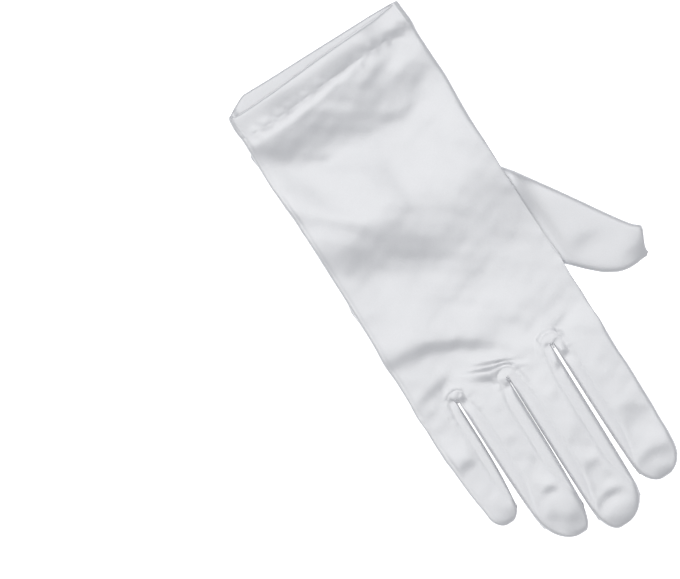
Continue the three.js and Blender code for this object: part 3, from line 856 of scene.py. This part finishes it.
def fourchette_points(number):
    """Strip that runs down one finger's side, round the crotch and up the next finger."""
    rows = np.concatenate([[0.0], finger_rows(STRIP_TIP_ROWS)])
    inner = np.linspace(0.05, 0.95, STRIP_COLUMNS)
    shares = np.array([-1, 0, EDGE_SHARE, *inner, 1 - EDGE_SHARE, 1, 2])
    stations = [(number, row) for row in rows[::-1]]
    stations += [(None, math.pi * step / STRIP_TURNS) for step in range(1, STRIP_TURNS)]
    stations += [(number + 1, row) for row in rows]
    points = np.zeros((len(stations), len(shares), 3))
    for index, (finger, value) in enumerate(stations):
        for step, share in enumerate(shares):
            shared = min(max(share, 0.0), 1.0)
            if finger is None:
                there = strip_at_crotch(number, value, shared)
            else:
                there = strip_on_finger(number, finger, value, shared)
            angle, top, bottom, size, plan, open_share, x, y = there
            z = section_height(size, abs(angle), "palm" if angle < 0 else "back")
            side = "back" if share < 0.5 else "palm"
            here = {"half": float(size["half"]), "up": float(size["up"])}
            turned = max(top if side == "back" else bottom, LEAST_TURN)
            edge = min(shared, 1 - shared) * (top + bottom) * here["half"] * 0.55
            depth = SEAM_DEPTH * math.exp(-((edge / SEAM_WIDTH) ** 2)) * open_share
            if not 0 <= share <= 1:
                depth += ALLOWANCE * tuck_share(open_share)
            place = np.array([x, y, z]) - lane_normal(here, turned, side, plan) * depth
            if 0 < share < 0.45:
                relief = slope_relief(STRIP_SLOPES, place[0], place[1])
                place[2] += relief * math.sin(math.pi * share / 0.45)
            points[index, step] = place
    points[..., 2] = np.maximum(points[..., 2], FLOOR_GAP)
    return points


def make_fourchettes(material):
    """The three strips between the fingers."""
    names = ("fourchette_ring_little", "fourchette_middle_ring", "fourchette_index_middle")
    return [cloth_piece(name + "_strip", fourchette_points(number), material, "satin", name)
            for number, name in enumerate(names)]


def ring_points(rows):
    """Rows round the wrist: each row is (distance from the opening's edge, depth in the cloth)."""
    turns = np.linspace(0, 2 * math.pi, HEM_COLUMNS + 1)
    on_back = turns <= math.pi
    share = np.cos(turns)
    mouth = np.where(on_back, mouth_line(share, "back"), mouth_line(share, "palm"))
    rise = crown_rise(share, BACK_FLATNESS)
    outward = np.stack([share ** 9, 0 * share, np.where(on_back, 1, -1) * (1 - share ** 10)], axis=-1)
    outward /= np.linalg.norm(outward, axis=-1, keepdims=True)
    points = []
    for run, depth in rows:
        along = mouth + run
        across = share * hand_width_at(along)
        back = hand_height(share, along, "back") + fold_relief(across, along) * rise
        if depth < HEM_THICKNESS:
            back = back + hem_line_relief(across, run - HEM_WIDTH)
        height = np.where(on_back, back, hand_height(share, along, "palm"))
        points.append(np.stack([across, along, height], axis=-1) - outward * depth)
    return np.array(points)


def make_hem(material):
    """Hem turned in: out to the rolled edge, round it, and back along the inside."""
    outer_runs = np.linspace(HEM_WIDTH - 0.4, 1.0, HEM_ROWS)
    outer = [(run, 0.0) for run in (HEM_WIDTH, HEM_WIDTH - 0.1, *outer_runs)]
    roll = [(1.0 - math.cos(turn), HEM_THICKNESS * (1 - math.sin(turn)))
            for turn in np.linspace(math.pi / 2, -math.pi / 2, HEM_ROLL_ROWS)]
    inner = [(run, 2 * HEM_THICKNESS) for run in np.linspace(1.6, HEM_WIDTH, HEM_INNER_ROWS)]
    points = ring_points(outer + roll[1:] + inner)
    return cloth_piece("wrist_hem", points, material, "hem_satin", "cuff_hem")


def thumb_points():
    """Thumb lying under the palm, closed to a flat seam at its tip and its base."""
    base, middle_part, tip = THUMB_ROWS
    runs = np.concatenate([
        np.linspace(0, 1, base + 1) ** 1.6 * THUMB_BASE_END,
        np.linspace(THUMB_BASE_END, THUMB_TIP_START, middle_part + 1)[1:],
        THUMB_TIP_START + THUMB_TIP * np.sin(np.linspace(0, 1, tip + 1)[1:] * math.pi / 2),
    ])
    turns = np.linspace(0, 2 * math.pi, THUMB_COLUMNS + 1)
    points = np.zeros((len(runs), len(turns), 3))
    middle = THUMB_THICKNESS / 2
    for row, run in enumerate(runs):
        near = float(table_value(THUMB_SECTIONS, run, 1)) * THUMB_WIDTH / 2
        far = float(table_value(THUMB_SECTIONS, run, 2)) * THUMB_WIDTH / 2
        tall = float(table_value(THUMB_SECTIONS, run, 3)) * middle
        across_share = np.cos(turns)
        if row in (0, len(runs) - 1):
            # a flat end row: its corners join the next points, so that no face lies on another
            tall = 0.0
            across_share = np.clip(across_share, -across_share[1], across_share[1])
        side = np.where(across_share > 0, near, far) * across_share
        rise = crown_rise(across_share, THUMB_FLATNESS) * np.sign(np.sin(turns))
        plan = thumb_origin + thumb_axis * run * THUMB_LENGTH + thumb_side * side[:, None]
        points[row, :, :2] = plan
        up = np.clip(rise, 0, 1) * smooth((run - 0.3) / 0.1) * (1 - smooth((run - 0.97) / 0.03))
        relief = slope_relief(THUMB_SLOPES, plan[:, 0], plan[:, 1]) * up
        points[row, :, 2] = middle + tall * rise + relief
    points[..., 2] = np.maximum(points[..., 2], FLOOR_GAP)
    return points


def make_thumb(material):
    """The thumb, folded under the palm."""
    return cloth_piece("thumb_cloth", thumb_points(), material, "satin", "thumb")


def make_floor(material):
    """The table that the glove lies on."""
    deselect()
    bpy.ops.mesh.primitive_plane_add(size=FLOOR_SIZE)
    floor = bpy.context.object
    floor.name = "studio_floor"
    floor.data.materials.append(material)
    return floor


def add_socket(group, name, kind, in_out, value=None):
    """An input or output of a node group, with its default value."""
    made = group.interface.new_socket(name=name, in_out=in_out, socket_type=kind)
    if value is not None:
        made.default_value = value


def add_node(nodes, kind, operation=None, **values):
    """A node with its operation and some inputs set. An underscore stands for a space in a name."""
    node = nodes.new(kind)
    if operation is not None:
        node.operation = operation
    for name, value in values.items():
        node.inputs[name.replace("_", " ")].default_value = value
    return node


def add_range(nodes, links, source, ends):
    """A value from 0 to 1 brought to a range."""
    node = add_node(nodes, "ShaderNodeMapRange", To_Min=ends[0], To_Max=ends[1])
    links.new(source, node.inputs["Value"])
    return node.outputs["Result"]


def satin_group():
    """Fine weave, slight unevenness of tone and of gloss, in metres of object space."""
    group = bpy.data.node_groups.new("Satin weave", "ShaderNodeTree")
    add_socket(group, "Color", "NodeSocketColor", "INPUT", (0.8, 0.8, 0.8, 1))
    add_socket(group, "Thread Size", "NodeSocketFloat", "INPUT", THREAD_SIZE)
    add_socket(group, "Weave Height", "NodeSocketFloat", "INPUT", 0.1)
    add_socket(group, "Color", "NodeSocketColor", "OUTPUT")
    add_socket(group, "Roughness", "NodeSocketFloat", "OUTPUT")
    add_socket(group, "Normal", "NodeSocketVector", "OUTPUT")
    nodes, links = group.nodes, group.links
    given = nodes.new("NodeGroupInput")
    result = nodes.new("NodeGroupOutput")
    place = nodes.new("ShaderNodeTexCoord")

    # object space in threads
    count = add_node(nodes, "ShaderNodeMath", "DIVIDE")
    count.inputs[0].default_value = 1.0
    links.new(given.outputs["Thread Size"], count.inputs[1])
    scaled = add_node(nodes, "ShaderNodeVectorMath", "SCALE")
    links.new(place.outputs["Object"], scaled.inputs[0])
    links.new(count.outputs[0], scaled.inputs["Scale"])

    # warp threads, mixed with an uneven grain
    warp = add_node(nodes, "ShaderNodeTexWave", Scale=0.32, Distortion=0.6, Detail=1.0)
    warp.bands_direction = "X"
    links.new(scaled.outputs[0], warp.inputs["Vector"])
    grain = add_node(nodes, "ShaderNodeTexNoise", Scale=0.7, Detail=2.0)
    links.new(scaled.outputs[0], grain.inputs["Vector"])
    weave = nodes.new("ShaderNodeMix")
    weave.data_type = "FLOAT"
    weave.inputs["Factor"].default_value = GRAIN_SHARE
    links.new(warp.outputs["Fac"], weave.inputs["A"])
    links.new(grain.outputs["Fac"], weave.inputs["B"])
    bump = add_node(nodes, "ShaderNodeBump", Distance=WEAVE_DEPTH)
    links.new(given.outputs["Weave Height"], bump.inputs["Strength"])
    links.new(weave.outputs["Result"], bump.inputs["Height"])
    links.new(bump.outputs["Normal"], result.inputs["Normal"])

    # tone and gloss
    cloud = add_node(nodes, "ShaderNodeTexNoise", Scale=CLOUD_SCALE, Detail=3.0)
    links.new(place.outputs["Object"], cloud.inputs["Vector"])
    both = add_node(nodes, "ShaderNodeMath", "MULTIPLY")
    links.new(add_range(nodes, links, cloud.outputs["Fac"], CLOUD_TONES), both.inputs[0])
    links.new(add_range(nodes, links, weave.outputs["Result"], THREAD_TONES), both.inputs[1])
    tinted = add_node(nodes, "ShaderNodeVectorMath", "SCALE")
    links.new(given.outputs["Color"], tinted.inputs[0])
    links.new(both.outputs[0], tinted.inputs["Scale"])
    links.new(tinted.outputs[0], result.inputs["Color"])
    roughness = add_range(nodes, links, cloud.outputs["Fac"], SATIN_ROUGHNESS)
    links.new(roughness, result.inputs["Roughness"])
    return group


def satin_material(name, group):
    """Smooth white satin."""
    material = bpy.data.materials.new(name)
    material.use_nodes = True
    nodes, links = material.node_tree.nodes, material.node_tree.links
    shader = nodes["Principled BSDF"]
    satin = nodes.new("ShaderNodeGroup")
    satin.node_tree = group
    satin.inputs["Color"].default_value = SATIN_COLOR
    satin.inputs["Weave Height"].default_value = WEAVE_HEIGHT
    links.new(satin.outputs["Color"], shader.inputs["Base Color"])
    links.new(satin.outputs["Roughness"], shader.inputs["Roughness"])
    links.new(satin.outputs["Normal"], shader.inputs["Normal"])
    shader.inputs["IOR"].default_value = SATIN_IOR
    shader.inputs["Specular IOR Level"].default_value = 1.0
    shader.inputs["Sheen Weight"].default_value = SHEEN
    shader.inputs["Sheen Roughness"].default_value = SHEEN_ROUGHNESS
    return material


def floor_material():
    """Pale floor that glows a little."""
    material = bpy.data.materials.new("Pale floor")
    material.use_nodes = True
    shader = material.node_tree.nodes["Principled BSDF"]
    shader.inputs["Base Color"].default_value = FLOOR_COLOR
    shader.inputs["Roughness"].default_value = FLOOR_ROUGHNESS
    shader.inputs["Emission Color"].default_value = (1, 1, 1, 1)
    shader.inputs["Emission Strength"].default_value = 1.0
    return material


def look_at(thing, place, target, up):
    """Put a camera or a lamp at a place, looking at a target."""
    forward = (Vector(target) - Vector(place)).normalized()
    right = forward.cross(Vector(up)).normalized()
    above = right.cross(forward)
    thing.matrix_world = Matrix((
        (right.x, above.x, -forward.x, place[0]),
        (right.y, above.y, -forward.y, place[1]),
        (right.z, above.z, -forward.z, place[2]),
        (0, 0, 0, 1),
    ))


def make_camera():
    """The camera, with a lens that frames VIEW_WIDTH at the height of the cloth."""
    bpy.ops.object.camera_add()
    camera = bpy.context.object
    camera.name = "photo_camera"
    up = (math.sin(VIEW_TURN), math.cos(VIEW_TURN), 0)
    place = (VIEW_CENTRE[0], VIEW_CENTRE[1], VIEW_DISTANCE)
    look_at(camera, place, (VIEW_CENTRE[0], VIEW_CENTRE[1], 0), up)
    camera.data.sensor_width = SENSOR_WIDTH
    camera.data.lens = SENSOR_WIDTH * (VIEW_DISTANCE - VIEW_HEIGHT) / VIEW_WIDTH
    bpy.context.scene.camera = camera
    bpy.context.scene.view_settings.view_transform = "Standard"


def make_softbox():
    """Softbox over the wrist side."""
    place = (LIGHT_TARGET[0] - LIGHT_SHIFT, LIGHT_TARGET[1] + LIGHT_AWAY * math.sin(LIGHT_LEAN),
             LIGHT_AWAY * math.cos(LIGHT_LEAN))
    bpy.ops.object.light_add(type="AREA")
    lamp = bpy.context.object
    lamp.name = "softbox"
    lamp.data.shape = "RECTANGLE"
    lamp.data.size, lamp.data.size_y = LIGHT_SIZE
    lamp.data.energy = LIGHT_POWER
    look_at(lamp, place, LIGHT_TARGET, (0, 1, 0))


def make_room():
    """Pale room, as the world's light by the height of its direction."""
    world = bpy.data.worlds.new("Studio")
    bpy.context.scene.world = world
    world.use_nodes = True
    nodes, links = world.node_tree.nodes, world.node_tree.links
    room = nodes["Background"]
    room.inputs["Color"].default_value = (1, 1, 1, 1)
    direction = nodes.new("ShaderNodeTexCoord")
    parts = nodes.new("ShaderNodeSeparateXYZ")
    links.new(direction.outputs["Generated"], parts.inputs[0])
    walls = nodes.new("ShaderNodeMapRange")
    walls.interpolation_type = "SMOOTHSTEP"
    walls.inputs["From Min"].default_value, walls.inputs["From Max"].default_value = WALL_HEIGHTS
    walls.inputs["To Min"].default_value, walls.inputs["To Max"].default_value = WALL_STRENGTHS
    links.new(parts.outputs["Z"], walls.inputs["Value"])
    links.new(walls.outputs["Result"], room.inputs["Strength"])


make_camera()
make_softbox()
make_room()
weave = satin_group()
satin = satin_material("White satin", weave)
hem_satin = satin_material("White satin hem", weave)
floor = make_floor(floor_material())
trank = make_trank(satin)
strips = make_fourchettes(satin)
thumb = make_thumb(satin)
hem = make_hem(hem_satin)
